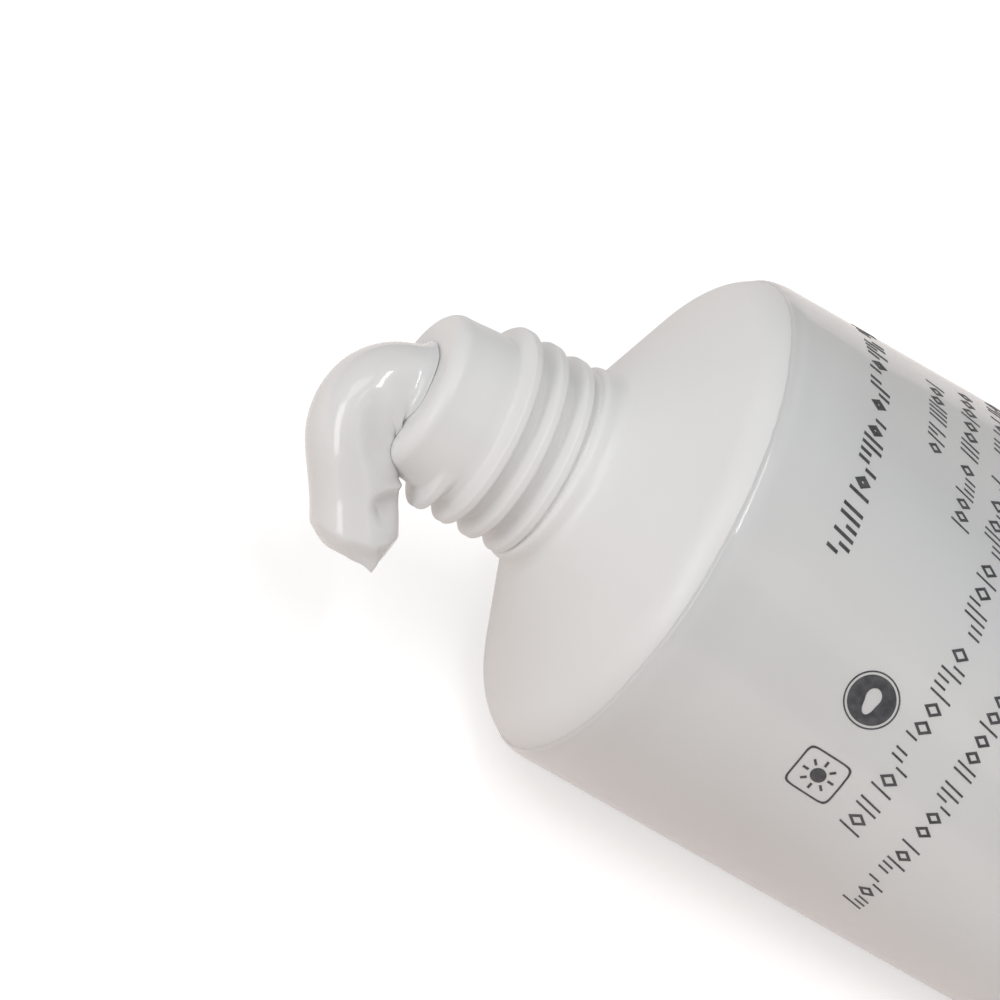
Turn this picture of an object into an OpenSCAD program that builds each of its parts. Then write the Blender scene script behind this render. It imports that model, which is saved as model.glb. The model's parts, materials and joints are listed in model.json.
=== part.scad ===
// Squeeze tube of sun cream with its cap off, lying on a table as it comes to rest.
// The nozzle points along -X, the flat seal is at +X, and the table is the plane z = 0.

/* [Sleeve] */
// Outside diameter of the sleeve at the shoulder
tube_d = 40; // [34:0.5:50]
// Length of the sleeve from the shoulder's corner to the seal
sleeve_len = 125; // [90:1:170]
// Wall thickness of the sleeve
sleeve_wall = 0.5; // [0.35:0.05:0.8]
// Length of sleeve that stays round behind the head's skirt
collar_extra = 0.5; // [0.2:0.1:6]
// How far the sleeve's upper side swells above the straight line from the collar to the seal
crown = 2; // [0:0.1:4]
// Place of the fullest part of the swell, as a power: above 1 it lies nearer the seal
crown_lean = 1.6; // [1:0.1:2]
// Length of the flat heat seal at the tail
seal_len = 6; // [4:0.5:12]
// How far the sleeve's front lip wraps round the corner, in degrees
lip_angle = 20; // [8:1:35]
// How far the lip stands proud of the shoulder
lip_step = 0.15; // [0.05:0.05:0.3]
// Angle between the lip's edge and the step that it sits behind, in degrees
lip_space = 2; // [1:0.5:6]

/* [Shoulder] */
// Radius of the rounded corner between the sleeve and the shoulder
corner_r = 4; // [2.5:0.1:6]
// Slope of the shoulder's cone, in degrees
shoulder_angle = 27; // [15:1:38]
// Thickness of the shoulder
shoulder_wall = 1.4; // [1:0.1:2]
// Length of the skirt that sits inside the sleeve
skirt_len = 2.5; // [1:0.1:6]
// Thickness of the skirt
skirt_wall = 1; // [0.6:0.1:1.6]
// Clearance between the sleeve and the head inside it
weld_gap = 0.02; // [0.01:0.01:0.1]

/* [Neck] */
// Length of the neck from the shoulder to the end face
neck_len = 13.5; // [12:0.5:20]
// Diameter of the smooth nozzle just behind its rim
nozzle_d = 12.7; // [11:0.1:13]
// Diameter of the neck between the turns of the thread
neck_d = 13.1; // [12.8:0.1:14]
// Wall thickness of the neck
neck_wall = 1.4; // [1:0.1:2]
// Thickness of the end wall round the orifice
face_wall = 1.6; // [1:0.1:2.5]
// Radius of the nozzle's rounded rim
rim_r = 1.2; // [0.3:0.1:2]
// Diameter of the orifice
orifice_d = 6; // [3:0.1:7]
// Diameter of the ring at the foot of the neck
ring_d = 16; // [15:0.1:18]
// Height of the ring above the shoulder
ring_h = 1.6; // [1.3:0.1:3]
// Radius of the ring's outer edge
ring_edge_r = 0.5; // [0.2:0.1:0.8]
// Radius of the fillet between the ring and the shoulder
ring_fillet = 1; // [0.4:0.1:1.5]

/* [Thread] */
// Outside diameter of the thread
thread_d = 15.6; // [14.6:0.1:17]
// Distance from the end face to the start of the thread
thread_start = 4.45; // [3.5:0.05:6]
// Pitch of the thread, which is right-handed with one start
thread_pitch = 2.3; // [1.8:0.05:3]
// Width of the ridge at its foot
ridge_foot = 1.7; // [1.3:0.1:1.75]
// Width of the ridge at its crest
ridge_crest = 0.7; // [0.4:0.1:1]
// Direction in which the thread starts, in degrees from the top towards +Y
thread_from = -100; // [-180:5:180]
// Turn over which the ridge rises to its full height, in degrees
thread_rise = 30; // [15:5:60]

/* [Cream] */
// Clearance between the cream and the walls round it
paste_gap = 0.1; // [0.05:0.05:0.3]
// Length of the empty space between the cream and the seal
headspace = 8; // [4:1:40]
// Diameter of the bead of cream that hangs from the nozzle
bead_d = 6.95; // [5:0.05:8]
// Angle at which the bead leaves the orifice, in degrees from the tube's axis
bead_lean = 18; // [0:1:60]
// Angle at which the bead hangs below its bend, in degrees from the tube's axis
bead_hang = 120; // [90:1:130]
// Radius of the bead's bend, along its middle
bead_bend_r = 3.9; // [3.5:0.1:6]
// Direction that the bead turns to, in degrees from straight down towards -Y
bead_swing = 42; // [-60:1:60]
// Length of the bead below its bend
bead_drop = 5.6; // [4:0.1:8]
// Diameter of the bead's rounded end
bead_end_d = 6.3; // [4:0.1:7]
// Length of the pulled tip below the middle of the rounded end
tip_len = 4.1; // [3.5:0.1:5]
// Diameter of the pulled tip
tip_d = 0.5; // [0.3:0.1:1.5]
// How far the tip sits from the bead's middle, towards the tube
tip_offset = 1.7; // [0:0.1:2]

/* [Hidden] */

// Facets of a full circle, of the sleeve's body and of a small ball
round_fn = 144;
body_fn = 96;
small_fn = 32;
// Steps in an arc, in one turn of the thread, and along the sleeve's body
arc_steps = 10;
turn_steps = 36;
body_steps = 9;
// Least share of the body's length that a step takes
least_step = 0.02;
// Half thickness of the hollow where it ends at the seal
slit_r = 0.05;
// How far the body's front reaches into the round piece that it grows out of, and lies within its surface
joint = 0.02;
// Depth of the ridge's foot below the surface of the neck
ridge_sink = 0.3;
// Share of the ridge's height, and width beyond the crest, at its rounded shoulders
ridge_shoulder = 0.8;
ridge_shoulder_w = 0.15;

tube_r = tube_d / 2;
neck_r = neck_d / 2;
nozzle_r = nozzle_d / 2;
orifice_r = orifice_d / 2;
ring_r = ring_d / 2;
thread_r = thread_d / 2;
bead_r = bead_d / 2;

// The flat seal, where the two walls meet, is as wide as half the girth of the round collar
seal_w = PI * tube_r;
seal_t = 2 * sleeve_wall;
collar_len = skirt_len + collar_extra;
tail_z = sleeve_len + seal_len;

// The tube is drawn standing on its axis, Z, with the shoulder's corner at z = 0, the nozzle above it
// and the side that comes to rest uppermost at +X.
corner_c = tube_r - corner_r;
face_r = corner_r - lip_step;
cone_r = corner_c + face_r * sin(shoulder_angle);
cone_z = face_r * cos(shoulder_angle);
neck_foot_z = outer_cone_z(ring_r);
end_z = neck_foot_z + neck_len;
ring_top_z = neck_foot_z + ring_h;
thread_z = end_z - thread_start;

// Outside of the skirt, radius of the seat under the lip, and angle of the step in front of it
skirt_r = tube_r - sleeve_wall - weld_gap;
seat_r = corner_r - sleeve_wall - weld_gap;
step_angle = lip_angle + lip_space;

// Points of an arc about centre c, from angle a0 to angle a1
function arc(c, r, a0, a1) =
    [for (i = [0:arc_steps]) let (a = a0 + (a1 - a0) * i / arc_steps) c + r * [cos(a), sin(a)]];

// Height of the shoulder's outside at radius r
function outer_cone_z(r) = cone_z + (cone_r - r) * tan(shoulder_angle);

// Height of the hollow under the shoulder at radius r, with its wall thickened by gap
function inner_cone_z(r, gap) = outer_cone_z(r) - (shoulder_wall + gap) / cos(shoulder_angle);

// Half section of the hollow inside the head, shrunk by gap on all its walls
function hollow(gap) =
    let (skirt_in = skirt_r - skirt_wall - gap, neck_in = nozzle_r - neck_wall - gap)
    [
        [0, -skirt_len - gap],
        [skirt_in, -skirt_len - gap],
        [skirt_in, inner_cone_z(skirt_in, gap)],
        [neck_in, inner_cone_z(neck_in, gap)],
        [neck_in, end_z - face_wall - gap],
        [orifice_r - gap, end_z - face_wall - gap],
        [orifice_r - gap, end_z],
        [0, end_z]
    ];

// Half section of the head's outside
fillet_c = [
    ring_r + ring_fillet,
    outer_cone_z(ring_r + ring_fillet) + ring_fillet / cos(shoulder_angle)
];
head_outline = concat(
    [[0, -skirt_len], [skirt_r, -skirt_len]],
    arc([corner_c, 0], seat_r, 0, step_angle),
    arc([corner_c, 0], face_r, step_angle, 90 - shoulder_angle),
    arc(fillet_c, ring_fillet, 270 - shoulder_angle, 180),
    arc([ring_r - ring_edge_r, ring_top_z - ring_edge_r], ring_edge_r, 0, 90),
    [[neck_r, ring_top_z], [neck_r, thread_z]],
    arc([nozzle_r - rim_r, end_z - rim_r], rim_r, 0, 90),
    [[0, end_z]]
);

// Half section of the sleeve's round front, which ends in the lip
collar_outline = concat(
    [[tube_r - sleeve_wall, -collar_len], [tube_r, -collar_len]],
    arc([corner_c, 0], corner_r, 0, lip_angle),
    arc([corner_c, 0], corner_r - sleeve_wall, lip_angle, 0)
);

// The ridge runs down from its start and dies away inside the ring
thread_turns = (thread_z - ring_top_z + ridge_foot / 2) / thread_pitch;

// One section of the ridge at an angle and height, with a share of its full height
function ridge_ring(angle, z, share) =
    let (
        top = neck_r + (thread_r - neck_r) * share,
        shoulder = neck_r + (thread_r - neck_r) * share * ridge_shoulder,
        foot = neck_r - ridge_sink,
        shoulder_w = ridge_crest / 2 + ridge_shoulder_w,
        section = [
            [foot, -ridge_foot / 2],
            [shoulder, -shoulder_w],
            [top, -ridge_crest / 4],
            [top, ridge_crest / 4],
            [shoulder, shoulder_w],
            [foot, ridge_foot / 2]
        ]
    )
    [for (p = section) [p[0] * cos(angle), p[0] * sin(angle), z + p[1]]];

// Stations along the bead: [distance out from the end face, distance across the axis, radius]
bead_steps = 8;
bead_arc = [for (i = [0:bead_steps])
    let (a = bead_lean + (bead_hang - bead_lean) * i / bead_steps, swell = min(1, 2 * i / bead_steps))
    [
        bead_bend_r * (sin(a) - sin(bead_lean)),
        bead_bend_r * (cos(bead_lean) - cos(a)),
        orifice_r + (bead_r - orifice_r) * swell
    ]];
bend_foot = bead_arc[bead_steps];

// Station a distance along the bead below its bend, moved inward towards the tube
function below_bend(along, inward, r) = [
    bend_foot[0] + along * cos(bead_hang) - inward * sin(bead_hang),
    bend_foot[1] + along * sin(bead_hang) + inward * cos(bead_hang),
    r
];
bead_stations = concat(bead_arc, [
    below_bend(bead_drop, 0, bead_end_d / 2),
    below_bend(bead_drop + tip_len, tip_offset, tip_d / 2)
]);

// Place of a station, whose plane is turned from straight down, -X, towards -Y
function station_place(s) = [-s[1] * cos(bead_swing), -s[1] * sin(bead_swing), end_z + s[0]];

// The tube rests on the lower edge of the seal's end and, at the front, on the collar's back edge or
// the rounded corner, whichever reaches lower.
collar_tilt = atan((tube_r - seal_t / 2) / (tail_z - collar_len));
corner_rise = corner_c - seal_t / 2;
corner_reach = sqrt(tail_z * tail_z + corner_rise * corner_rise);
corner_tilt = atan(corner_rise / tail_z) + asin(corner_r / corner_reach);
tilt = max(collar_tilt, corner_tilt);
axis_h = seal_t / 2 * cos(tilt) + tail_z * sin(tilt);

// The origin is below the middle of the whole part, between the bead's front and the seal's end
function laid_x(p) = p[0] * sin(tilt) - p[2] * cos(tilt);
front_x = min([for (s = bead_stations) laid_x(station_place(s)) - s[2]]);
back_x = laid_x([seal_t / 2, 0, -tail_z]);

// Lays down what was drawn standing
module laid() {
    translate([-(front_x + back_x) / 2, 0, axis_h])
        rotate([0, tilt - 90, 0])
            children();
}

// Half width of the hollow at the seal, and length of the body between the collar and the seal
hollow_half_w = seal_w / 2 - seal_t;
body_len = sleeve_len - collar_len;

// Height of the swell at share t of the way from the collar to the seal
function swell(t) = crown * pow(sin(180 * pow(t, crown_lean)), 2);

// Outline across the body, from the top towards +Y: a circle of radius r and an ellipse of half
// width w added together. The ellipse stands up by rise on the upper side and is flat below.
function body_ring(z, r, w, rise) =
    [for (i = [0:body_fn - 1])
        let (
            a = 360 * i / body_fn,
            thin = cos(a) > 0 ? rise : 0,
            reach = sqrt(pow(w * sin(a), 2) + pow(thin * cos(a), 2)),
            slide = reach > 0 ? (w * w - thin * thin) * sin(a) * cos(a) / reach : 0
        )
        [(r + reach) * cos(a) - slide * sin(a), (r + reach) * sin(a) + slide * cos(a), z]];

// Outlines from the round collar, of radius front_r, towards the flat seal, of half thickness end_r
// and half width end_r + end_w. They are drawn in by gap, their front also by within, and they stop at
// share last of the length.
function body_rings(front_r, end_r, end_w, within, gap = 0, last = 1) =
    let (
        steps = [for (i = [1:body_steps - 1]) if (i / body_steps < last - least_step) i / body_steps],
        front = body_ring(joint - collar_len, front_r - gap - within, 0, 0)
    )
    concat([front], [for (t = concat(steps, [last]))
        body_ring(-collar_len - body_len * t, front_r * (1 - t) + end_r * t - gap, end_w * t, swell(t))]);

// Triangles between outlines that follow each other towards the tail, and over one outline
function ring_sides(rings) =
    let (n = body_fn)
    [for (i = [0:len(rings) - 2], j = [0:n - 1])
        each [
            [i * n + j, i * n + (j + 1) % n, (i + 1) * n + (j + 1) % n],
            [i * n + j, (i + 1) * n + (j + 1) % n, (i + 1) * n + j]
        ]];
function ring_cap(i) = [for (j = [0:body_fn - 1]) i * body_fn + j];

// The same faces turned the other way, for the points that follow the first k
function turned_in(faces, k) = [for (f = faces) [for (v = [len(f) - 1:-1:0]) f[v] + k]];

// The sleeve's body and seal, with the hollow inside
module sleeve_body() {
    body = body_rings(tube_r, seal_t / 2, (seal_w - seal_t) / 2, joint);
    outside = concat(body, [body_ring(-tail_z, seal_t / 2, (seal_w - seal_t) / 2, 0)]);
    inside = body_rings(tube_r - sleeve_wall, slit_r, hollow_half_w, -joint);
    n = body_fn;
    k = len(outside) * n;
    front = [for (j = [0:n - 1])
        each [[j, k + j, k + (j + 1) % n], [j, k + (j + 1) % n, (j + 1) % n]]];
    polyhedron(
        points = [for (ring = concat(outside, inside)) each ring],
        faces = concat(
            ring_sides(outside),
            [ring_cap(len(outside) - 1)],
            turned_in(concat(ring_sides(inside), [ring_cap(len(inside) - 1)]), k),
            front
        ),
        convexity = 6
    );
}

module sleeve() {
    color("whitesmoke")
        laid() {
            rotate_extrude($fn = round_fn)
                polygon(collar_outline);
            sleeve_body();
        }
}

module head_shell() {
    difference() {
        rotate_extrude($fn = round_fn)
            polygon(head_outline);
        rotate_extrude($fn = round_fn)
            polygon(hollow(0));
    }
}

module thread() {
    n = ceil(thread_turns * turn_steps);
    rings = [for (i = [0:n])
        let (turned = 360 * thread_turns * i / n, z = thread_z - thread_pitch * turned / 360)
        ridge_ring(thread_from - turned, z, min(1, (turned + 5) / thread_rise))];
    k = len(rings[0]);
    sides = [for (i = [0:n - 1], j = [0:k - 1])
        each [
            [i * k + j, (i + 1) * k + (j + 1) % k, i * k + (j + 1) % k],
            [i * k + j, (i + 1) * k + j, (i + 1) * k + (j + 1) % k]
        ]];
    first_end = [for (j = [0:k - 1]) j];
    last_end = [for (j = [0:k - 1]) n * k + k - 1 - j];
    polyhedron(
        points = [for (ring = rings) each ring],
        faces = concat(sides, [first_end, last_end]),
        convexity = 8
    );
}

module head() {
    color("white")
        laid() {
            head_shell();
            thread();
        }
}

module cream_fill() {
    inside_r = tube_r - sleeve_wall;
    paste = body_rings(inside_r, slit_r, hollow_half_w, joint, paste_gap, 1 - headspace / body_len);
    color("ivory")
        laid() {
            rotate_extrude($fn = round_fn)
                polygon(hollow(paste_gap));
            translate([0, 0, -collar_len])
                cylinder(h = collar_extra - paste_gap, r = inside_r - paste_gap, $fn = round_fn);
            polyhedron(
                points = [for (ring = paste) each ring],
                faces = concat(
                    ring_sides(paste),
                    [ring_cap(len(paste) - 1)],
                    turned_in([ring_cap(0)], 0)
                ),
                convexity = 4
            );
        }
}

module station_ball(s) {
    translate(station_place(s))
        sphere(r = s[2], $fn = small_fn);
}

module cream_bead() {
    ridge_top_z = thread_z + ridge_foot / 2 + paste_gap;
    color("ivory")
        laid()
            difference() {
                for (i = [0:len(bead_stations) - 2])
                    hull() {
                        station_ball(bead_stations[i]);
                        station_ball(bead_stations[i + 1]);
                    }
                cylinder(h = end_z, r = neck_r + paste_gap, $fn = round_fn);
                cylinder(h = ridge_top_z, r = thread_r + paste_gap, $fn = round_fn);
            }
}

sleeve();
head();
cream_fill();
cream_bead();
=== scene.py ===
"""Looks of a squeeze tube of sun cream, lying on its side with a bead of cream at the nozzle.

Sizes are in millimetres and are the ones that the part is built from. The tube is shaped standing on
its axis: x is up when the tube lies down, y runs across it, and z points to the nozzle from the
centre of the shoulder's rounded corner. place() lays it down in the row frame, in metres.
"""

import json
import math

import bpy
import numpy as np
from mathutils import Matrix, Vector


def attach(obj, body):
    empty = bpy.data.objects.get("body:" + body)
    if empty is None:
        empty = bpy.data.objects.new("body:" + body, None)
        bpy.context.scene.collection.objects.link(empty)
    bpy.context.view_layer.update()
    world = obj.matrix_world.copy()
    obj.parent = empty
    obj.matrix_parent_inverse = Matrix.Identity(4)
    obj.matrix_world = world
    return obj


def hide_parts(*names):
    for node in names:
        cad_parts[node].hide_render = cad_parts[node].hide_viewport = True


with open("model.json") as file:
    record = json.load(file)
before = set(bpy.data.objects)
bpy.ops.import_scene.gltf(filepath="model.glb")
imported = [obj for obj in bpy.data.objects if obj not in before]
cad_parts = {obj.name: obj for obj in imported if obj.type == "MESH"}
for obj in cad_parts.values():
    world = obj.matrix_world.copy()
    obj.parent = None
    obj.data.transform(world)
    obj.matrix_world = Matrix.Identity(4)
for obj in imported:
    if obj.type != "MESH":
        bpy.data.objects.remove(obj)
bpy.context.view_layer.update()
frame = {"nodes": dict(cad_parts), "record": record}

# Sizes of the part

TUBE_R = 20.0
SLEEVE_LEN = 125.0
SEAL_LEN = 6.0
WALL = 0.5
COLLAR_LEN = 3.0
CROWN = 2.0
CROWN_LEAN = 1.6
# A quarter of the tube's girth
SEAL_HALF_W = math.pi * TUBE_R / 2

CORNER_R = 4.0
CORNER_C = TUBE_R - CORNER_R
LIP_ANGLE = 20.0
LIP_STEP = 0.15
# Angles on the corner between which the head's face steps down to the seat under the lip
STEP_FROM = 10.5
STEP_TO = 12.0
FACE_R = CORNER_R - LIP_STEP
SLOPE = math.radians(27)
SHOULDER_WALL = 1.4
WELD_GAP = 0.02
SKIRT_LEN = 2.5
SKIRT_R = TUBE_R - WALL - WELD_GAP
SKIRT_WALL = 1.0

NECK_LEN = 13.5
NOZZLE_R = 6.35
NECK_R = 6.55
NECK_WALL = 1.4
FACE_WALL = 1.6
RIM_R = 1.2
ORIFICE_R = 3.0
RING_R = 8.0
RING_H = 1.6
RING_EDGE_R = 0.5
RING_FILLET = 1.0

THREAD_R = 7.8
THREAD_START = 4.45
PITCH = 2.3
RIDGE_FOOT = 1.7
# Where the thread starts, in degrees from the top towards +y, and the turns over which it swells
THREAD_FROM = -100.0
THREAD_BEFORE = 12.0
THREAD_RISE = 30.0

BEAD_R = 3.475
BEAD_ROOT_R = 3.12
# Angles from the tube's axis at which the bead leaves the orifice, and at which it hangs
BEAD_LEAN = 18.0
BEAD_HANG = 120.0
BEND_R = 3.9
# Turn of the bend's plane from straight down towards -y
BEAD_SWING = math.radians(42)

# The camera's view: how far the tube's axis falls in the picture, its angle from the view direction, and
# the roll of its upper side about it
FALL = math.radians(29.5)
FROM_VIEW = math.radians(71.5)
ROLL = math.radians(50.5)
# Width of the picture, and the place in it of the nozzle's end, right and up from its middle
FRAME_WIDTH = 73.87
END_IN_FRAME = (-6.427, 8.495)
# The camera's distance in metres, and its sensor's width
CAMERA_DISTANCE = 1.6
SENSOR_WIDTH = 36

CONE_R = CORNER_C + FACE_R * math.sin(SLOPE)
CONE_Z = FACE_R * math.cos(SLOPE)


def cone_z(r):
    """Height of the shoulder's outside at radius r."""
    return CONE_Z + (CONE_R - r) * math.tan(SLOPE)


NECK_FOOT_Z = cone_z(RING_R)
END_Z = NECK_FOOT_Z + NECK_LEN
RING_TOP_Z = NECK_FOOT_Z + RING_H
THREAD_Z = END_Z - THREAD_START

# The tube's own frame

cap_thread = next(m for m in frame["record"]["mounts"] if m["name"] == "cap_thread")
END_POINT = np.array(cap_thread["pos_m"], float)
AXIS = np.array(cap_thread["axis"], float)
ACROSS = np.array([0.0, 1.0, 0.0])
UP = np.cross(ACROSS, AXIS)


def place(p):
    """Row-frame points, in metres, of points given standing, in millimetres."""
    p = np.asarray(p, float)
    turned = p[..., 0:1] * UP + p[..., 1:2] * ACROSS + (p[..., 2:3] - END_Z) * AXIS
    return END_POINT + turned / 1000


# Mesh helpers


def smoothstep(x, lo=0.0, hi=1.0):
    """Soft rise from 0 at lo to 1 at hi."""
    t = np.clip((np.asarray(x, float) - lo) / (hi - lo), 0, 1)
    return t * t * (3 - 2 * t)


def ripple(u, v, seed, waves=7, low=1.0, high=4.0):
    """Smooth noise over two coordinates, about -1 to 1, made of a few seeded waves."""
    rng = np.random.default_rng(seed)
    total = np.zeros(np.broadcast(u, v).shape)
    for _ in range(waves):
        turn = rng.uniform(0, 2 * math.pi)
        rate = rng.uniform(low, high)
        total += np.sin(rate * (u * math.cos(turn) + v * math.sin(turn)) + rng.uniform(0, 6.3))
    return total / math.sqrt(waves)


def make_mesh(name, points, faces, material):
    """New object with smooth faces, from standing points in millimetres."""
    mesh = bpy.data.meshes.new(name)
    mesh.from_pydata(place(points).tolist(), [], faces)
    mesh.validate()
    mesh.polygons.foreach_set("use_smooth", [True] * len(mesh.polygons))
    mesh.materials.append(material)
    mesh.update()
    obj = bpy.data.objects.new(name, mesh)
    bpy.context.scene.collection.objects.link(obj)
    return obj


def grid_faces(rows, cols, wrap_rows=False, flip=False):
    """Quads of a grid of rows that each close on themselves, and of which the last may join the first."""
    faces = []
    for i in range(rows if wrap_rows else rows - 1):
        a, b = i * cols, (i + 1) % rows * cols
        for j in range(cols):
            k = (j + 1) % cols
            quad = (a + j, a + k, b + k, b + j)
            faces.append(quad[::-1] if flip else quad)
    return faces


def polar(r, angle, z):
    """Standing points at radius r and an angle from x towards y, in radians."""
    r, angle, z = np.broadcast_arrays(r, angle, z)
    return np.stack([r * np.cos(angle), r * np.sin(angle), z], -1)


def arc(c, r, a0, a1, n):
    """Points of an arc about c, from a0 to a1 degrees."""
    a = np.radians(np.linspace(a0, a1, n))
    return np.stack([c[0] + r * np.cos(a), c[1] + r * np.sin(a)], -1)


def line(p, q, n):
    """n points from p towards q, without q."""
    t = np.linspace(0, 1, n, endpoint=False)[:, None]
    return np.array(p, float) * (1 - t) + np.array(q, float) * t


# Materials


class Nodes:
    """A material's node tree, with short calls to add nodes."""

    def __init__(self, name):
        self.material = bpy.data.materials.new(name)
        self.material.use_nodes = True
        self.tree = self.material.node_tree
        self.shader = self.tree.nodes["Principled BSDF"]
        self.coords = self.tree.nodes.new("ShaderNodeTexCoord").outputs["Object"]

    def set(self, **values):
        """Gives the shader's sockets plain values."""
        for key, value in values.items():
            self.shader.inputs[key.replace("_", " ")].default_value = value

    def link(self, out, socket):
        self.tree.links.new(out, socket)

    def noise(self, scale, detail):
        """Noise over the piece's own coordinates, with scale waves to a metre."""
        node = self.tree.nodes.new("ShaderNodeTexNoise")
        node.inputs["Scale"].default_value = scale
        node.inputs["Detail"].default_value = detail
        self.link(self.coords, node.inputs["Vector"])
        return node.outputs["Fac"]

    def ramp(self, fac, stops):
        """Colours between stops, each a place from 0 to 1 and a colour."""
        node = self.tree.nodes.new("ShaderNodeValToRGB")
        elements = node.color_ramp.elements
        while len(elements) < len(stops):
            elements.new(0.5)
        for element, (at, colour) in zip(elements, stops):
            element.position = at
            element.color = (*colour, 1)
        self.link(fac, node.inputs["Fac"])
        return node.outputs["Color"]

    def spread(self, fac, lo, hi):
        """Noise spread from lo to hi."""
        node = self.tree.nodes.new("ShaderNodeMapRange")
        node.inputs["From Min"].default_value = 0.3
        node.inputs["From Max"].default_value = 0.7
        node.inputs["To Min"].default_value = lo
        node.inputs["To Max"].default_value = hi
        self.link(fac, node.inputs["Value"])
        return node.outputs["Result"]

    def bump(self, height, distance, strength, under=None):
        """Normal with a relief of a depth in metres, over that of another relief."""
        node = self.tree.nodes.new("ShaderNodeBump")
        node.inputs["Distance"].default_value = distance
        node.inputs["Strength"].default_value = strength
        self.link(height, node.inputs["Height"])
        if under:
            self.link(under, node.inputs["Normal"])
        return node.outputs["Normal"]

    def greatest(self, *outs):
        """The greatest of several values."""
        total = outs[0]
        for out in outs[1:]:
            node = self.tree.nodes.new("ShaderNodeMath")
            node.operation = "MAXIMUM"
            self.link(total, node.inputs[0])
            self.link(out, node.inputs[1])
            total = node.outputs[0]
        return total


def sleeve_material():
    m = Nodes("sleeve_film")
    m.set(Subsurface_Weight=0.25, Subsurface_Scale=0.004, Subsurface_Radius=(1.0, 0.92, 0.86))
    m.set(IOR=1.5, Coat_Weight=0.9, Coat_Roughness=0.1)
    warm, pale, cool = (0.83, 0.81, 0.80), (0.88, 0.875, 0.865), (0.85, 0.855, 0.865)
    tint = m.ramp(m.noise(30, 1.5), [(0.34, warm), (0.5, pale), (0.66, cool)])
    m.link(tint, m.shader.inputs["Base Color"])
    m.link(m.spread(m.noise(900, 3.0), 0.34, 0.44), m.shader.inputs["Roughness"])
    coarse = m.bump(m.noise(60, 1.0), 0.0006, 0.25)
    m.link(m.bump(m.noise(2600, 2.0), 0.00002, 0.25, coarse), m.shader.inputs["Normal"])
    return m.material


def head_material():
    m = Nodes("head_plastic")
    m.set(Subsurface_Weight=0.12, Subsurface_Scale=0.002, Subsurface_Radius=(1.0, 0.95, 0.9), IOR=1.5)
    tint = m.ramp(m.noise(70, 2.0), [(0.35, (0.855, 0.852, 0.847)), (0.65, (0.88, 0.878, 0.875))])
    m.link(tint, m.shader.inputs["Base Color"])
    m.link(m.spread(m.noise(1500, 3.0), 0.3, 0.4), m.shader.inputs["Roughness"])
    m.link(m.bump(m.noise(3200, 2.0), 0.00002, 0.35), m.shader.inputs["Normal"])
    return m.material


def cream_material():
    m = Nodes("cream_paste")
    m.set(Subsurface_Weight=0.3, Subsurface_Scale=0.002, Subsurface_Radius=(1.0, 0.9, 0.82))
    m.set(IOR=1.42, Coat_Weight=0.7, Coat_Roughness=0.05)
    tint = m.ramp(m.noise(120, 1.0), [(0.35, (0.81, 0.806, 0.80)), (0.65, (0.83, 0.827, 0.822))])
    m.link(tint, m.shader.inputs["Base Color"])
    m.link(m.spread(m.noise(700, 2.0), 0.16, 0.22), m.shader.inputs["Roughness"])
    m.link(m.bump(m.noise(260, 1.0), 0.00002, 0.2), m.shader.inputs["Normal"])
    return m.material


def print_material():
    m = Nodes("print_ink")
    tint = m.ramp(m.noise(1400, 3.0), [(0.35, (0.055, 0.055, 0.06)), (0.7, (0.11, 0.11, 0.12))])
    m.link(tint, m.shader.inputs["Base Color"])
    m.link(m.spread(m.noise(2000, 2.0), 0.4, 0.55), m.shader.inputs["Roughness"])
    return m.material


film = sleeve_material()
plastic = head_material()
paste = cream_material()
ink = print_material()

# Sleeve

SLEEVE_COLS = 320
# The film's outside stays a hair inside the solid's
HAIR = 0.004
# Radius at the collar, radius at the seal and half width of the flat part there, outside and inside
OUTER_SIZES = (TUBE_R - HAIR, WALL - HAIR, SEAL_HALF_W - WALL)
INNER_SIZES = (TUBE_R - WALL, 0.05, SEAL_HALF_W - 2 * WALL)
OUTLINE_POINTS = 2880
# Share of a ring's points that follows the outline's turning, and not its length
FOLD_SHARE = 0.25
# How far the weld reaches to the front and the back of the lip's edge, in degrees of the corner
WELD_FRONT = 2.4
WELD_BACK = 2.0
RIB_PITCH = 0.75
RIB_DEPTH = 0.05
PRESS_DEPTH = 0.06


def swell(t):
    """Height of the upper side's swell at share t of the way from the collar to the seal."""
    return CROWN * math.sin(math.pi * t**CROWN_LEAN) ** 2


def sleeve_outline(z, inset=False):
    """Dense outline across the sleeve at height z: x, y, outward angle, and length along it.

    It starts at the top and runs towards +y. The section is the sum of a circle and a flat ellipse,
    which keeps the tube's girth from the round collar to the flat seal.
    """
    t = min(max((-z - COLLAR_LEN) / (SLEEVE_LEN - COLLAR_LEN), 0.0), 1.0)
    front_r, end_r, end_w = INNER_SIZES if inset else OUTER_SIZES
    r = front_r * (1 - t) + end_r * t
    w = max(end_w * t, 1e-6)
    # Angle of the outward normal, from x towards y
    a = np.linspace(0, 2 * math.pi, OUTLINE_POINTS, endpoint=False)
    thin = np.where(np.cos(a) > 0, swell(t), 0) + 1e-6
    reach = np.sqrt((w * np.sin(a)) ** 2 + (thin * np.cos(a)) ** 2)
    slide = (w**2 - thin**2) * np.sin(a) * np.cos(a) / reach
    x = (r + reach) * np.cos(a) - slide * np.sin(a)
    y = (r + reach) * np.sin(a) + slide * np.cos(a)
    step = np.hypot(np.roll(x, -1) - x, np.roll(y, -1) - y)
    run = np.concatenate([[0], np.cumsum(step)])
    return x, y, a, run


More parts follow.
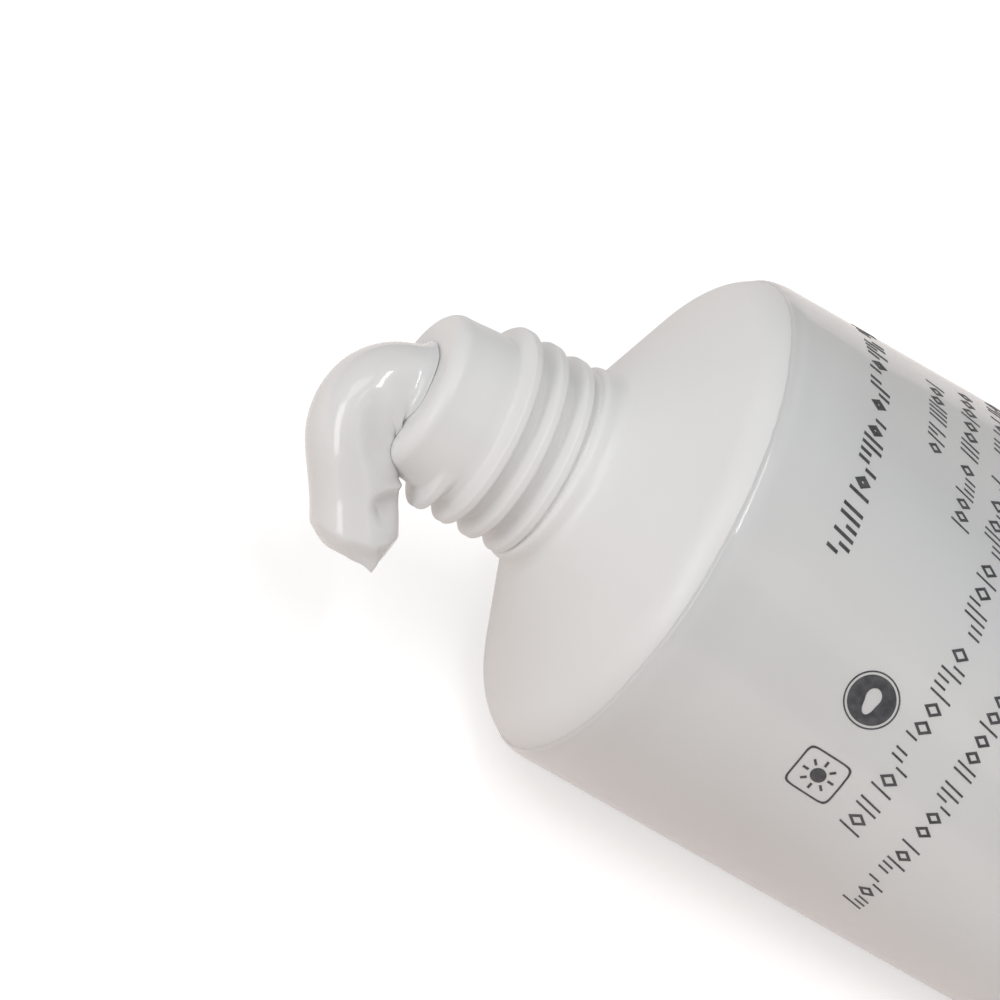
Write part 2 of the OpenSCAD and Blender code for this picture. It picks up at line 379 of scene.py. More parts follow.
def sleeve_ring(z, inset=False):
    """Evenly spread standing points round the sleeve at height z, closer together at its folds."""
    x, y, a, run = sleeve_outline(z, inset)
    turned = np.append(a, 2 * math.pi) / (2 * math.pi)
    share = (1 - FOLD_SHARE) * run / run[-1] + FOLD_SHARE * turned
    at = np.linspace(0, 1, SLEEVE_COLS, endpoint=False)
    px = np.interp(at, share, np.append(x, x[0]))
    py = np.interp(at, share, np.append(y, y[0]))
    return np.stack([px, py, np.full(SLEEVE_COLS, z)], -1)


def lip_rows():
    """Rows of the lip: a thin welded film that ends in a soft, slightly uneven edge."""
    around = np.linspace(0, 2 * math.pi, SLEEVE_COLS, endpoint=False)
    waves = 0.5 * ripple(np.cos(around) * 6, np.sin(around) * 6, 3)
    nicks = 0.35 * ripple(np.cos(around) * 30, np.sin(around) * 30, 4)
    edge = LIP_ANGLE - 0.9 + (waves + nicks)
    inner_r = CORNER_R - WALL
    outer_r = CORNER_R - HAIR
    foot_r = FACE_R + 0.01

    def row(angle, r):
        b = np.radians(angle)
        return polar(CORNER_C + r * np.cos(b), around, r * np.sin(b))

    rows = [row(angle, inner_r) for angle in (0.0, 3.2, 6.4)]
    rows.append(row(STEP_FROM + 0.5, inner_r + 0.02))
    rows.append(row(STEP_TO + 0.5, FACE_R - 0.02))
    rows.append(row(edge + 2.0, FACE_R + 0.005))
    # The weld rises softly from the head to the film's own surface
    for share in np.linspace(0, 1, 8):
        rise = (outer_r - foot_r) * smoothstep(share)
        rows.append(row(edge + WELD_FRONT - (WELD_FRONT + WELD_BACK) * share, foot_r + rise))
    for share in np.linspace(0, 1, 16)[1:]:
        rows.append(row((edge - WELD_BACK) * (1 - share), outer_r))
    return rows


def body_rows():
    """Rows of the round collar and of the body behind it, up to the seal."""
    collar = np.linspace(0.6, COLLAR_LEN, 4)
    body = COLLAR_LEN + (SLEEVE_LEN - COLLAR_LEN) * np.linspace(0.02, 1, 66) ** 0.95
    return [sleeve_ring(-back) for back in np.concatenate([collar, body])]


def seal_rows():
    """Rows of the heat seal: flat, with fine pressed ribs across it and a softened end."""
    flat = sleeve_ring(-SLEEVE_LEN)
    rows = []
    for d in np.linspace(0, SEAL_LEN, 75)[1:]:
        pressed = float(smoothstep(d, 0.3, 0.7) * (1 - smoothstep(d, SEAL_LEN - 0.8, SEAL_LEN - 0.4)))
        ribs = RIB_DEPTH * pressed * (1 + math.cos(2 * math.pi * d / RIB_PITCH))
        depth = ribs + PRESS_DEPTH * pressed
        end = float(smoothstep(d, SEAL_LEN - 0.16, SEAL_LEN)) * 0.14
        ring = flat.copy()
        ring[:, 0] *= 1 - (depth + end) / WALL * np.clip(np.abs(ring[:, 0]) / WALL, 0, 1)
        ring[:, 2] = -SLEEVE_LEN - d
        rows.append(ring)
    return rows


def end_strips(first):
    """Faces that close a flat ring of points, between its two long sides, which mirror each other."""
    half = SLEEVE_COLS // 2
    quarter = SLEEVE_COLS // 4
    faces = []
    for j in range(-quarter + 1, quarter - 1):
        quad = (half - j, half - j - 1, j + 1, j)
        faces.append(tuple(first + v % SLEEVE_COLS for v in quad))
    for tip in (quarter, SLEEVE_COLS - quarter):
        faces.append((first + tip - 1, first + tip, first + tip + 1))
    return faces


def build_sleeve():
    cols = SLEEVE_COLS
    outer = np.array(lip_rows() + body_rows() + seal_rows())
    # The inside runs back from the lip's root to the seal and ends in a slit
    backs = np.concatenate([[1.5, COLLAR_LEN], np.linspace(8, SLEEVE_LEN - 0.4, 40)])
    inner = np.array([sleeve_ring(-back, inset=True) for back in backs])
    points = np.concatenate([outer.reshape(-1, 3), inner.reshape(-1, 3)])
    base = len(outer) * cols
    faces = grid_faces(len(outer), cols, flip=True)
    faces += end_strips(base - cols)
    faces += [tuple(base + v for v in f) for f in grid_faces(len(inner), cols)]
    faces += [f[::-1] for f in end_strips(len(points) - cols)]
    # Joins the lip's root to the inside
    faces += [((j + 1) % cols, base + (j + 1) % cols, base + j, j) for j in range(cols)]
    obj = make_mesh("sleeve_skin", points, faces, film)
    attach(obj, "root")
    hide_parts("sleeve")


# Head

HEAD_COLS = 256
ORIFICE_EDGE = 0.12


def ridge_height(angle, z):
    """Height of the thread's ridge above the neck at an angle in degrees and a height."""
    total = np.zeros(np.broadcast(angle, z).shape)
    margin = 40
    crest, foot = 0.14 * RIDGE_FOOT, 0.52 * RIDGE_FOOT
    first = np.mod(THREAD_FROM - angle + margin, 360) - margin
    for turn in range(5):
        turned = first + 360 * turn
        off = np.abs(z - (THREAD_Z - PITCH * turned / 360))
        share = smoothstep(turned, -THREAD_BEFORE, THREAD_RISE)
        total = np.maximum(total, share * (1 - smoothstep(off, crest, foot)))
    return (THREAD_R - NECK_R) * total


def build_head():
    cols = HEAD_COLS
    around = np.linspace(0, 2 * math.pi, cols, endpoint=False)
    bore = NOZZLE_R - NECK_WALL
    skirt_in = SKIRT_R - SKIRT_WALL
    drop = SHOULDER_WALL / math.cos(SLOPE)
    rows = []

    def add(profile):
        for r, z in profile:
            rows.append(polar(r, around, z))

    # Orifice, end face and rounded rim
    add(line((ORIFICE_R, END_Z - FACE_WALL), (ORIFICE_R, END_Z - ORIFICE_EDGE), 6))
    add(arc((ORIFICE_R + ORIFICE_EDGE, END_Z - ORIFICE_EDGE), ORIFICE_EDGE, 180, 90, 5))
    add(line((ORIFICE_R + 0.2, END_Z), (NOZZLE_R - RIM_R, END_Z), 12))
    add(arc((NOZZLE_R - RIM_R, END_Z - RIM_R), RIM_R, 90, 0, 18))
    # Nozzle and threaded neck, which swells into the ring below it
    ring_flat = RING_R - RING_EDGE_R
    for z in np.linspace(END_Z - RIM_R, RING_TOP_Z + 0.02, 150)[1:]:
        slope = float(smoothstep(-z, -(END_Z - RIM_R), -THREAD_Z))
        bare = NOZZLE_R + (NECK_R - NOZZLE_R) * slope
        foot_fill = (ring_flat - NECK_R) * (1 - smoothstep(z - RING_TOP_Z, 0.1, 0.9))
        rows.append(polar(bare + np.maximum(ridge_height(np.degrees(around), z), foot_fill), around, z))
    foot = np.hypot(rows[-1][:, 0], rows[-1][:, 1])
    rows.append(polar(foot, around, RING_TOP_Z))
    for r, z in arc((ring_flat, RING_TOP_Z - RING_EDGE_R), RING_EDGE_R, 80, 0, 9):
        rows.append(polar(np.maximum(r, foot), around, z))
    fillet_c = (RING_R + RING_FILLET, cone_z(RING_R + RING_FILLET) + RING_FILLET / math.cos(SLOPE))
    add(arc(fillet_c, RING_FILLET, 180, 270 - math.degrees(SLOPE), 14))
    far = fillet_c[0] + RING_FILLET * math.cos(math.radians(270) - SLOPE)
    add(line((far + 0.3, cone_z(far + 0.3)), (CONE_R, CONE_Z), 24))
    add(arc((CORNER_C, 0), FACE_R, 90 - math.degrees(SLOPE), STEP_TO, 40))
    # Seat under the sleeve's lip, skirt, and the hollow inside
    add(arc((CORNER_C, 0), CORNER_R - WALL - WELD_GAP, STEP_FROM, 0, 5))
    add(line((SKIRT_R, -0.5), (SKIRT_R, -SKIRT_LEN), 4))
    add(line((SKIRT_R, -SKIRT_LEN), (skirt_in, -SKIRT_LEN), 4))
    add(line((skirt_in, -SKIRT_LEN), (skirt_in, cone_z(skirt_in) - drop), 6))
    add(line((skirt_in, cone_z(skirt_in) - drop), (bore, cone_z(bore) - drop), 24))
    add(line((bore, cone_z(bore) - drop), (bore, END_Z - FACE_WALL), 30))
    add(line((bore, END_Z - FACE_WALL), (ORIFICE_R, END_Z - FACE_WALL), 4))
    points = np.array(rows)
    faces = grid_faces(len(points), cols, wrap_rows=True, flip=True)
    obj = make_mesh("head_moulding", points.reshape(-1, 3), faces, plastic)
    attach(obj, "root")
    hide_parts("head")


# Bead of cream

BEAD_DOWN = np.array([-math.cos(BEAD_SWING), -math.sin(BEAD_SWING), 0.0])
BEAD_SIDE = np.array([math.sin(BEAD_SWING), -math.cos(BEAD_SWING), 0.0])
BEND_LEN = BEND_R * math.radians(BEAD_HANG - BEAD_LEAN)
BEAD_ROWS = 150
BEAD_COLS = 120
# The bead is shaped this far below its bend, and its end is then cut back
BEAD_SPARE = 11.0
# Shares of the radius at which the rings of its end lie
CAP_SHARES = (0.92, 0.82, 0.7, 0.58, 0.46, 0.34, 0.22, 0.1)
VOXEL = 0.11
# Height of the bead's end below the bend, at its middle
END_ALONG = 9.0
# Share of a point's nearness by which it moves towards the tube in the camera's view
NEAR_SHARE = 0.31


def bead_frame(run):
    """Middle, forward direction and inward direction of the bead at a length along it."""
    lean = math.radians(BEAD_LEAN)
    hang = math.radians(BEAD_HANG)
    a = lean + min(run, BEND_LEN) / BEND_R
    extra = max(run - BEND_LEN, 0.0)
    out = BEND_R * (math.sin(a) - math.sin(lean)) + extra * math.cos(hang)
    down = BEND_R * (math.cos(lean) - math.cos(a)) + extra * math.sin(hang)
    z_dir = np.array([0, 0, 1.0])
    middle = (END_Z + out) * z_dir + down * BEAD_DOWN
    # The first rings turn from the orifice's own plane
    turned = a * float(smoothstep(run, -0.8, 2.6))
    forward = math.cos(turned) * z_dir + math.sin(turned) * BEAD_DOWN
    inward = -math.sin(turned) * z_dir + math.cos(turned) * BEAD_DOWN
    return middle, forward, inward


def remeshed(points, faces, voxel):
    """The closed outside of a mesh that may cross itself, as evenly sized quads."""
    mesh = bpy.data.meshes.new("lump")
    mesh.from_pydata(points.tolist(), [], faces)
    obj = bpy.data.objects.new("lump", mesh)
    bpy.context.scene.collection.objects.link(obj)
    mod = obj.modifiers.new("even", "REMESH")
    mod.mode = "VOXEL"
    mod.voxel_size = voxel
    done = bpy.data.meshes.new_from_object(obj.evaluated_get(bpy.context.evaluated_depsgraph_get()))
    new_points = np.array([v.co for v in done.vertices], float)
    new_faces = [tuple(p.vertices) for p in done.polygons]
    bpy.data.objects.remove(obj)
    bpy.data.meshes.remove(mesh)
    bpy.data.meshes.remove(done)
    return new_points, new_faces


def smoothed(points, faces, rounds, share=0.5):
    """Points drawn towards the middle of their neighbours."""
    pairs = np.array([(f[k], f[(k + 1) % len(f)]) for f in faces for k in range(len(f))])
    count = np.bincount(pairs[:, 0], minlength=len(points)).astype(float)[:, None]
    for _ in range(rounds):
        total = np.zeros_like(points)
        np.add.at(total, pairs[:, 0], points[pairs[:, 1]])
        points = points + share * (total / count - points)
    return points


def bead_local(points):
    """Distance below the bend, inward and towards the near side, of points near the hanging part."""
    foot, forward, inward = bead_frame(BEND_LEN)
    rel = points - foot
    return rel @ forward, rel @ inward, rel @ BEAD_SIDE


def bead_world(along, inner, side):
    """Standing points from what bead_local() gives."""
    foot, forward, inward = bead_frame(BEND_LEN)
    return foot + np.outer(along, forward) + np.outer(inner, inward) + np.outer(side, BEAD_SIDE)


def bead_radius(run, w):
    """The bead's radius at a length along it, at angles from its inner side towards its near side."""
    past = run - BEND_LEN
    rise = float(smoothstep(run, 0, BEND_LEN / 2))
    low = float(smoothstep(run, BEND_LEN, BEND_LEN + 5))
    r = BEAD_ROOT_R + (BEAD_R - BEAD_ROOT_R) * rise - 0.17 * low + 0.2 * low * np.cos(w)
    # Faint folds along it
    r = r + 0.012 * np.cos(5 * w + 0.6) + 0.01 * np.cos(9 * w - 1 + 0.05 * run)
    # A soft hollow runs down the near side, inside the bend
    deep = 0.42 * float(smoothstep(past, -4.4, -2.2) * (1 - smoothstep(past, 0.4, 2.6)))
    turn = math.radians(np.interp(past, (-3.3, -1.4, 1.6), (92, 78, 66)))
    return r - deep * np.exp(-(((w - turn) / 0.36) ** 2))


def build_bead():
    cols = BEAD_COLS
    w = np.linspace(0, 2 * math.pi, cols, endpoint=False)
    rows = []
    for run in np.linspace(0, BEND_LEN + BEAD_SPARE, BEAD_ROWS):
        middle, forward, inward = bead_frame(run)
        r = bead_radius(run, w)
        rows.append(middle + np.outer(r * np.cos(w), inward) + np.outer(r * np.sin(w), BEAD_SIDE))
    last = rows[-1]
    rows += [middle + share * (last - middle) for share in CAP_SHARES]
    points = np.array(rows).reshape(-1, 3)
    faces = grid_faces(len(rows), cols, flip=True)
    faces += [tuple(range(cols)), tuple(range(len(points) - 1, len(points) - 1 - cols, -1))]
    points, faces = remeshed(slant_end(points), faces, VOXEL)
    points = dress_bead(smoothed(points, faces, 5))
    points = smoothed(points, faces, 2)
    points = clear_nozzle(spread_root(points))
    obj = make_mesh("cream_curl", points, faces, paste)
    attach(obj, "root")
    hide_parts("cream_bead")


def slant_end(points):
    """Cuts the bead's end aslant, with rounded edges."""
    along, inner, side = bead_local(points)
    seen = inner + NEAR_SHARE * side
    # As the camera sees it, the end falls to the outer side, and more steeply at the inner edge
    limit = (
        END_ALONG
        + 0.5 * np.clip(seen, -4, -0.2)
        + 0.29 * np.clip(seen + 0.2, 0, 2.1)
        - 0.93 * np.clip(seen - 1.9, 0, 3)
    )
    limit = limit - 0.13 * side
    radius = np.hypot(inner - 0.15, side)
    fall = 0.85 - 0.5 * np.clip(inner / 3.3, -1, 1)
    limit = limit - fall * np.clip((radius - 1.6) / 1.6, 0, 1.1) ** 2.2
    # A thin flap is drawn out along the near edge and ends in a point
    behind = smoothstep(inner, -1.6, -0.6) * (1 - smoothstep(inner, 1.2, 2.0))
    limit = limit - 0.35 * smoothstep(side, 1.95, 2.5) * behind
    height = 0.08 + 0.8 * smoothstep(inner, -1.1, 1.3)
    height = height * smoothstep(inner, -1.4, -0.9) * (1 - smoothstep(inner, 1.36, 1.5))
    limit = limit + height * np.exp(-(((side - 1.75) / 0.22) ** 2))
    hanging = along > 2
    soft = 0.12
    over = np.clip((along - limit) / soft, -40, 40)
    cut = np.where(hanging, soft * np.log1p(np.exp(over)), 0)
    moved = bead_world(along - cut, inner, side)
    return np.where(hanging[:, None], moved, points)


def dress_bead(points):
    """Presses the dent on the inner, near side, under a small ledge."""
    along, inner, side = bead_local(points)
    radius = np.hypot(inner, side) + 1e-9
    angle = np.degrees(np.arctan2(side, inner))
    below = (along > 0.3) & (radius > 1.2)
    dent_turn, dent_at, dent_r = 54, 4.7, 3.3
    ledge_turn, ledge_at = 28, 3.45
    across = np.radians(angle - dent_turn) * dent_r / np.where(angle > dent_turn, 1.5, 2.2)
    length = (along - dent_at) / np.where(along < dent_at, 0.95, 1.75)
    dent = 0.9 * smoothstep(-np.hypot(across, length), -1.3, -0.05) * below
    ledge = 0.28 * np.exp(-(((along - ledge_at) / 0.3) ** 2)) * below
    ledge = ledge * np.exp(-(((angle - ledge_turn) / 26) ** 2))
    inner = inner * (1 + (ledge - dent) / radius)
    side = side * (1 + (ledge - dent) / radius)
    moved = bead_world(along, inner, side)
    return np.where(below[:, None], moved, points)


def spread_root(points):
    """Lets the bead's foot spread on the nozzle's end face."""
    r = np.hypot(points[:, 0], points[:, 1])
    height = np.clip(points[:, 2] - END_Z, 0, None)
    near = (r < 4.4) & (points[:, 2] > END_Z - 0.05) & (height < 2.0)
    towards_down = (points[:, :2] @ BEAD_DOWN[:2]) / np.maximum(r, 1e-6)
    grow = 0.85 * np.exp(-((height / 0.42) ** 1.3)) * smoothstep(r, 2.2, 2.9)
    grow = grow * (1 - 0.6 * smoothstep(towards_down, 0.3, 1.0))
    scale = np.where(near, 1 + grow / np.maximum(r, 1e-6), 1)
    return np.stack([points[:, 0] * scale, points[:, 1] * scale, points[:, 2]], -1)


def clear_nozzle(points):
    """Moves points out of the nozzle's rounded rim and wall, and off its end face."""
    gap = 0.04
    r = np.hypot(points[:, 0], points[:, 1])
    z = points[:, 2]
    centre_r = NOZZLE_R - RIM_R
    centre_z = END_Z - RIM_R
    wall_r = NOZZLE_R + (NECK_R - NOZZLE_R) * smoothstep(centre_z - z, 0, 3.3)
    beside = z < centre_z
    new_r = np.where(beside, np.maximum(r, wall_r + gap), r)
    dr, dz = r - centre_r, z - centre_z
    d = np.hypot(dr, dz) + 1e-9
    corner = (~beside) & (dr > 0) & (d < RIM_R + gap)
    new_r = np.where(corner, centre_r + dr / d * (RIM_R + gap), new_r)
    new_z = np.where(corner, centre_z + dz / d * (RIM_R + gap), z)
    new_z = np.where((~beside) & (dr <= 0), np.maximum(z, END_Z + 0.01), new_z)
    scale = np.where(r > 1e-6, new_r / np.maximum(r, 1e-6), 1)
    return np.stack([points[:, 0] * scale, points[:, 1] * scale, new_z], -1)


# Print

PRINT_BACKS = np.arange(0.0, 45.0, 1.0)
PRINT_STEP = 0.2
PRINT_RUNS = np.arange(-62.0, 62.01, PRINT_STEP)
# How far the ink stands over the film and reaches into it
INK_OVER = 0.03
INK_UNDER = 0.06
STROKE = 0.17
BOLD_STROKE = 0.29
# Lean of the bars, and the longest cell that a bar is cut into
BAR_LEAN = 0.2
CELL = 0.5


def sleeve_table():
    """Sections of the sleeve behind its corner, at even lengths round it from its top line."""
    table = []
    for back in PRINT_BACKS:
        x, y, a, run = sleeve_outline(-back)
        at = np.mod(PRINT_RUNS, run[-1])
        px = np.interp(at, run, np.append(x, x[0]))
        py = np.interp(at, run, np.append(y, y[0]))
        table.append(np.stack([px, py], -1))
    return np.array(table)


def on_sleeve(table, run, back, lift):
    """Standing points on the sleeve, run mm round it and back mm behind its corner."""

    def section(run):
        i = np.clip((run - PRINT_RUNS[0]) / PRINT_STEP, 0, len(PRINT_RUNS) - 2)
        k = np.clip(back - PRINT_BACKS[0], 0, len(PRINT_BACKS) - 2)
        i0, k0 = i.astype(int), k.astype(int)
        share_i, share_k = (i - i0)[:, None], (k - k0)[:, None]
        near = table[k0, i0] * (1 - share_i) + table[k0, i0 + 1] * share_i
        far = table[k0 + 1, i0] * (1 - share_i) + table[k0 + 1, i0 + 1] * share_i
        return near * (1 - share_k) + far * share_k

    at = section(run)
    along = section(run + 2 * PRINT_STEP) - section(run - 2 * PRINT_STEP)
    along /= np.linalg.norm(along, axis=1)[:, None]
    out = np.stack([along[:, 1], -along[:, 0]], -1)
    return np.concatenate([at + lift * out, -back[:, None]], 1)


def patch(corner, width, height, slant=0.0):
    """A bar, cut into cells, as flat points and faces."""
    nu = max(1, math.ceil(width / CELL))
    nv = max(1, math.ceil(height / CELL))
    u, v = np.meshgrid(np.linspace(0, width, nu + 1), np.linspace(0, height, nv + 1))
    points = np.stack([corner[0] + u + slant * v, corner[1] + v], -1).reshape(-1, 2)
    faces = []
    for j in range(nv):
        for i in range(nu):
            a = j * (nu + 1) + i
            faces.append((a, a + 1, a + nu + 2, a + nu + 1))
    return points, faces


def band(outer, inner):
    """The strip between two loops of the same number of points."""
    n = len(outer)
    points = np.concatenate([outer, inner])
    faces = [(i, (i + 1) % n, n + (i + 1) % n, n + i) for i in range(n)]
    return points, faces


def disc(loop, centre):
    """A filled loop, as rings towards its centre."""
    n = len(loop)
    shares = (1.0, 0.7, 0.4)
    points = np.concatenate([centre + (loop - centre) * s for s in shares] + [centre[None]])
    faces = []
    last = (len(shares) - 1) * n
    for ring in range(0, last, n):
        faces += [(ring + i, ring + (i + 1) % n, ring + n + (i + 1) % n, ring + n + i) for i in range(n)]
    faces += [(last + i, last + (i + 1) % n, len(shares) * n) for i in range(n)]
    return points, faces


def rounded(centre, half_u, half_v, n=28, power=4.0):
    """Loop of a rounded box, or of an ellipse at a power of 2."""
    t = np.linspace(0, 2 * math.pi, n, endpoint=False)
    c, s = np.cos(t), np.sin(t)
    u = half_u * np.sign(c) * np.abs(c) ** (2 / power)
    v = half_v * np.sign(s) * np.abs(s) ** (2 / power)
    return np.stack([centre[0] + u, centre[1] + v], -1)


def row_of_marks(seed, length, height, stroke):
    """Slim slanted bars and open diamonds along a row, in groups."""
    rng = np.random.default_rng(seed)
    shapes = []
    u = 0.0
    while u < length - 0.6 * height:
        for _ in range(rng.integers(4, 10)):
            kind = rng.integers(0, 5)
            if kind < 2:
                shapes.append(patch((u, 0), stroke, height, BAR_LEAN))
                u += stroke + 0.22 * height
            elif kind < 4:
                low = 0 if kind == 2 else 0.45 * height
                shapes.append(patch((u + BAR_LEAN * low, low), stroke, height * 0.55, BAR_LEAN))
                u += stroke + 0.22 * height
            else:
                half = 0.3 * height
                centre = (u + half + 0.1 * height, height / 2)
                inner = 1 - stroke / (0.62 * half)
                loop = rounded(centre, half, 0.4 * height, 24, 1.0)
                shapes.append(band(loop, np.array(centre) + inner * (loop - centre)))
                u += 2 * half + 0.16 * height
            if u > length - 0.2 * height:
                break
        u += 0.36 * height
    return shapes


def drop_sign():
    """A ring round a dark disc with a drop left bare in it."""
    t = np.linspace(0, 2 * math.pi, 48, endpoint=False)
    reach = 0.62 + 0.62 * np.clip(np.cos(t), 0, 1) ** 6
    drop = np.stack([reach * np.cos(t) * 1.15 - 0.25, reach * np.sin(t)], -1)
    ring = np.stack([np.cos(t), np.sin(t)], -1)
    return [band(2.2 * ring, 2.08 * ring), band(1.9 * ring, drop)]


def sun_sign():
    """A frame round a plain sun."""
    t = np.linspace(0, 2 * math.pi, 24, endpoint=False)
    shapes = [band(rounded((0, 0), 1.95, 1.95, 48, 7), rounded((0, 0), 1.8, 1.8, 48, 7))]
    shapes.append(disc(np.stack([0.62 * np.cos(t), 0.62 * np.sin(t)], -1), np.zeros(2)))
    for k in range(8):
        points, faces = patch((0.86, -0.1), 0.5, 0.2)
        c, s = math.cos(k * math.pi / 4), math.sin(k * math.pi / 4)
        shapes.append((points @ np.array([[c, s], [-s, c]]), faces))
    return shapes


def slab(top, bottom, flat_faces):
    """Points and faces of a thin closed plate between two like sheets."""
    n = len(top)
    edges = [(f[k], f[(k + 1) % len(f)]) for f in flat_faces for k in range(len(f))]
    known = set(edges)
    faces = list(flat_faces)
    faces += [tuple(n + v for v in f[::-1]) for f in flat_faces]
    faces += [(a, n + a, n + b, b) for a, b in edges if (b, a) not in known]
    return np.concatenate([top, bottom]), faces


def build_print():
    """Thin raised ink: rows round the sleeve, read from its far side, and two small signs."""
    table = sleeve_table()
    # Each group: its shapes, its turn round the sleeve in degrees and its place behind the corner
    groups = [
        (row_of_marks(11, 27.0, 1.9, BOLD_STROKE), 90, 5.6),
        (row_of_marks(12, 8.5, 1.7, STROKE), 77, 11.4),
        (row_of_marks(13, 17.5, 1.8, STROKE), 84, 14.6),
        (row_of_marks(14, 46.0, 2.0, STROKE), 92, 17.8),
        (row_of_marks(15, 40.0, 1.8, STROKE), 60, 22.4),
        (drop_sign(), -8.7, 14.35),
        (sun_sign(), -29.0, 14.3),
    ]
    points, faces = [], []
    count = 0
    for shapes, turn, start in groups:
        for flat, flat_faces in shapes:
            run = TUBE_R * (math.radians(turn) - ROLL) - flat[:, 0]
            back = start + flat[:, 1]
            top = on_sleeve(table, run, back, INK_OVER)
            bottom = on_sleeve(table, run, back, -INK_UNDER)
            plate, plate_faces = slab(top, bottom, flat_faces)
            points.append(plate)
            faces += [tuple(count + v for v in f) for f in plate_faces]
            count += len(plate)
    obj = make_mesh("print_marks", np.concatenate(points), faces, ink)
    obj.data.polygons.foreach_set("use_smooth", [False] * len(obj.data.polygons))
    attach(obj, "root")


def colour_fill():
    """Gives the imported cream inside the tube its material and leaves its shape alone."""
    fill = frame["nodes"]["cream_fill"]
    if not fill.material_slots:
        fill.data.materials.append(paste)
    for material_slot in fill.material_slots:
        material_slot.material = paste


build_sleeve()
build_head()
build_bead()
build_print()
colour_fill()

# Floor, light and camera

# Paint that the camera sees, and the softer, warmer one that throws light back on the tube
FLOOR_SEEN = (0.93, 0.93, 0.93, 1)
FLOOR_BOUNCE = (0.68, 0.60, 0.56, 1)
# Lifts the floor to white in the picture and in reflections, and lights nothing
FLOOR_LIFT = 0.46
FLOOR_HALF = 4.0
WORLD_LIGHT = 0.4


def floor_material():
    m = Nodes("floor_paint")
    m.set(Roughness=0.9, Specular_IOR_Level=0.1)
    path = m.tree.nodes.new("ShaderNodeLightPath")
    paint = m.tree.nodes.new("ShaderNodeMix")
    paint.data_type = "RGBA"
    paint.inputs["A"].default_value = FLOOR_BOUNCE
    paint.inputs["B"].default_value = FLOOR_SEEN
    m.link(path.outputs["Is Camera Ray"], paint.inputs["Factor"])
    m.link(paint.outputs["Result"], m.shader.inputs["Base Color"])
    rays = [path.outputs[name] for name in ("Is Camera Ray", "Is Glossy Ray", "Is Transmission Ray")]
    lift = m.tree.nodes.new("ShaderNodeMath")
    lift.operation = "MULTIPLY"
    lift.inputs[1].default_value = FLOOR_LIFT
    m.link(m.greatest(*rays), lift.inputs[0])
    m.set(Emission_Color=(1, 1, 1, 1))
    m.link(lift.outputs[0], m.shader.inputs["Emission Strength"])
    return m.material


def build_floor():
    half = FLOOR_HALF
    corners = [(-half, -half, 0), (half, -half, 0), (half, half, 0), (-half, half, 0)]
    mesh = bpy.data.meshes.new("floor")
    mesh.from_pydata(corners, [], [(0, 1, 2, 3)])
    mesh.materials.append(floor_material())
    obj = bpy.data.objects.new("floor", mesh)
    bpy.context.scene.collection.objects.link(obj)


def build_world():
    world = bpy.data.worlds.new("studio")
    bpy.context.scene.world = world
    world.use_nodes = True
    tree = world.node_tree
    out = tree.nodes["World Output"]
    soft = tree.nodes["Background"]
    soft.inputs["Color"].default_value = (1, 1, 1, 1)
    soft.inputs["Strength"].default_value = WORLD_LIGHT
    white = tree.nodes.new("ShaderNodeBackground")
    white.inputs["Color"].default_value = (1, 1, 1, 1)
    white.inputs["Strength"].default_value = 1.0
    path = tree.nodes.new("ShaderNodeLightPath")
    mix = tree.nodes.new("ShaderNodeMixShader")
    tree.links.new(path.outputs["Is Camera Ray"], mix.inputs[0])
    tree.links.new(soft.outputs[0], mix.inputs[1])
    tree.links.new(white.outputs[0], mix.inputs[2])
    tree.links.new(mix.outputs[0], out.inputs["Surface"])


def view_axes():
    """Right, up and back of the camera, and the point that it looks at."""
    # The tube's axis and its upper side, as right, up and back in the picture
    aside = math.sin(FROM_VIEW)
    a = np.array([-aside * math.cos(FALL), aside * math.sin(FALL), math.cos(FROM_VIEW)])
    p = np.array([math.sin(FALL), math.cos(FALL), 0])
    u = math.cos(ROLL) * np.cross(p, a) + math.sin(ROLL) * p
    y = np.cross(a, u)
    right, up, back = (a[k] * AXIS + u[k] * UP + y[k] * ACROSS for k in range(3))
    aim = END_POINT - (END_IN_FRAME[0] * right + END_IN_FRAME[1] * up) / 1000
    return right, up, back, aim


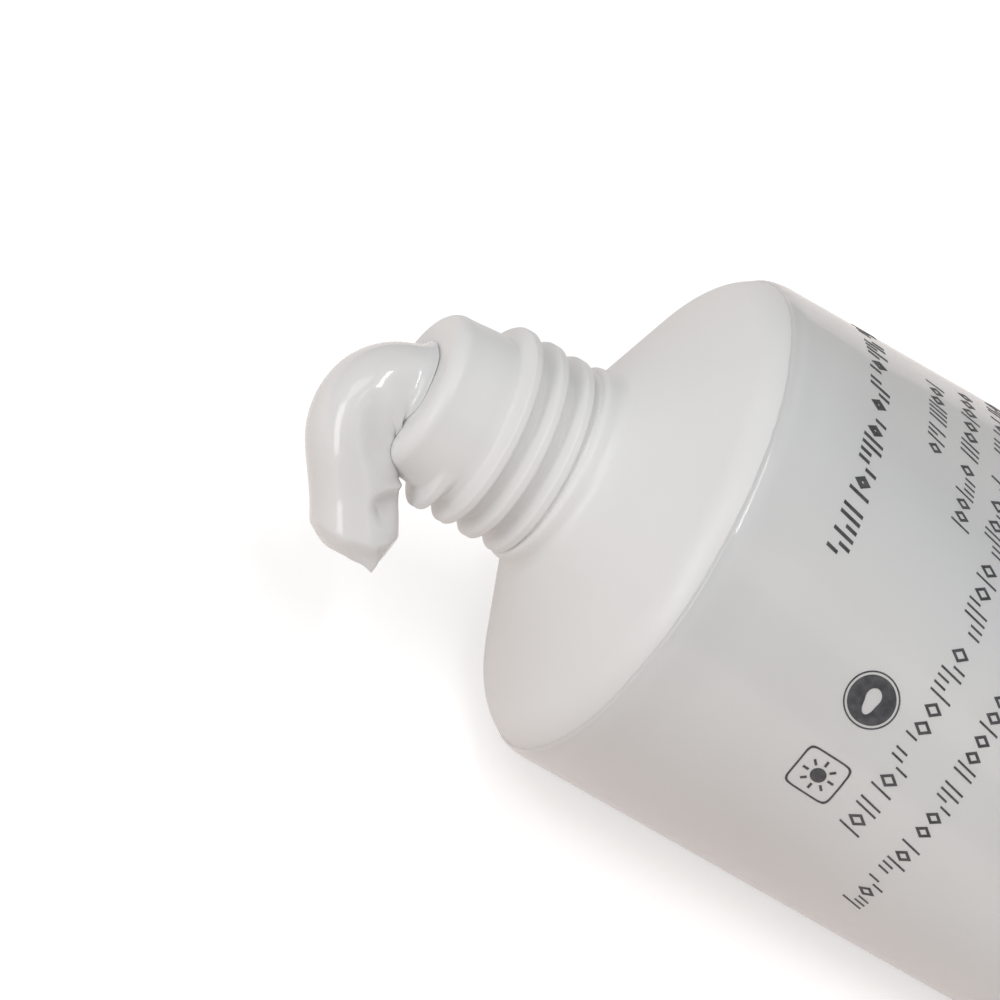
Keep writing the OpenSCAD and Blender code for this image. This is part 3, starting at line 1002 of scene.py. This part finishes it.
def soft_box(name, towards, distance, size, power, colour=(1, 1, 1), tilt=0.0):
    """Area light towards (right, up, back) of the camera's view, in metres and watts.

    It is turned by tilt from upright to the right, as seen from the tube.
    """
    right, up, back, aim = view_axes()
    z = towards[0] * right + towards[1] * up + towards[2] * back
    z /= np.linalg.norm(z)
    x = np.cross(up, z)
    x /= np.linalg.norm(x)
    y = math.cos(tilt) * np.cross(z, x) + math.sin(tilt) * x
    x = np.cross(y, z)
    data = bpy.data.lights.new(name, "AREA")
    data.shape = "RECTANGLE"
    data.size, data.size_y = size
    data.energy = power
    data.color = colour
    obj = bpy.data.objects.new(name, data)
    turn = Matrix([[x[i], y[i], z[i]] for i in range(3)])
    obj.matrix_world = Matrix.Translation(Vector(aim + distance * z)) @ turn.to_4x4()
    bpy.context.scene.collection.objects.link(obj)


def build_camera():
    right, up, back, aim = view_axes()
    data = bpy.data.cameras.new("camera")
    data.sensor_width = SENSOR_WIDTH
    data.lens = SENSOR_WIDTH * CAMERA_DISTANCE * 1000 / FRAME_WIDTH
    data.clip_start, data.clip_end = 0.05, 50
    cam = bpy.data.objects.new("camera", data)
    turn = Matrix([[right[i], up[i], back[i]] for i in range(3)])
    cam.matrix_world = Matrix.Translation(Vector(aim + CAMERA_DISTANCE * back)) @ turn.to_4x4()
    bpy.context.scene.collection.objects.link(cam)
    bpy.context.scene.camera = cam


build_floor()
build_world()
soft_box("left", (-0.6, 0.05, 0.8), distance=1.1, size=(0.36, 0.8), power=2.9)
soft_box("key", (-0.3, 0.6, 0.85), distance=1.1, size=(0.6, 0.4), power=1.1)
soft_box("front", (0.3, 0.42, 0.86), distance=1.2, size=(0.1, 0.8), power=2.8, tilt=math.radians(24))
soft_box("top", (0.54, 0.75, 0.44), distance=1.0, size=(0.8, 0.8), power=0.3)
soft_box("low", (0.52, -0.2, 0.82), distance=1.0, size=(0.3, 0.3), power=0.15, colour=(1.0, 0.88, 0.8))
build_camera()
bpy.context.scene.view_settings.view_transform = "Standard"
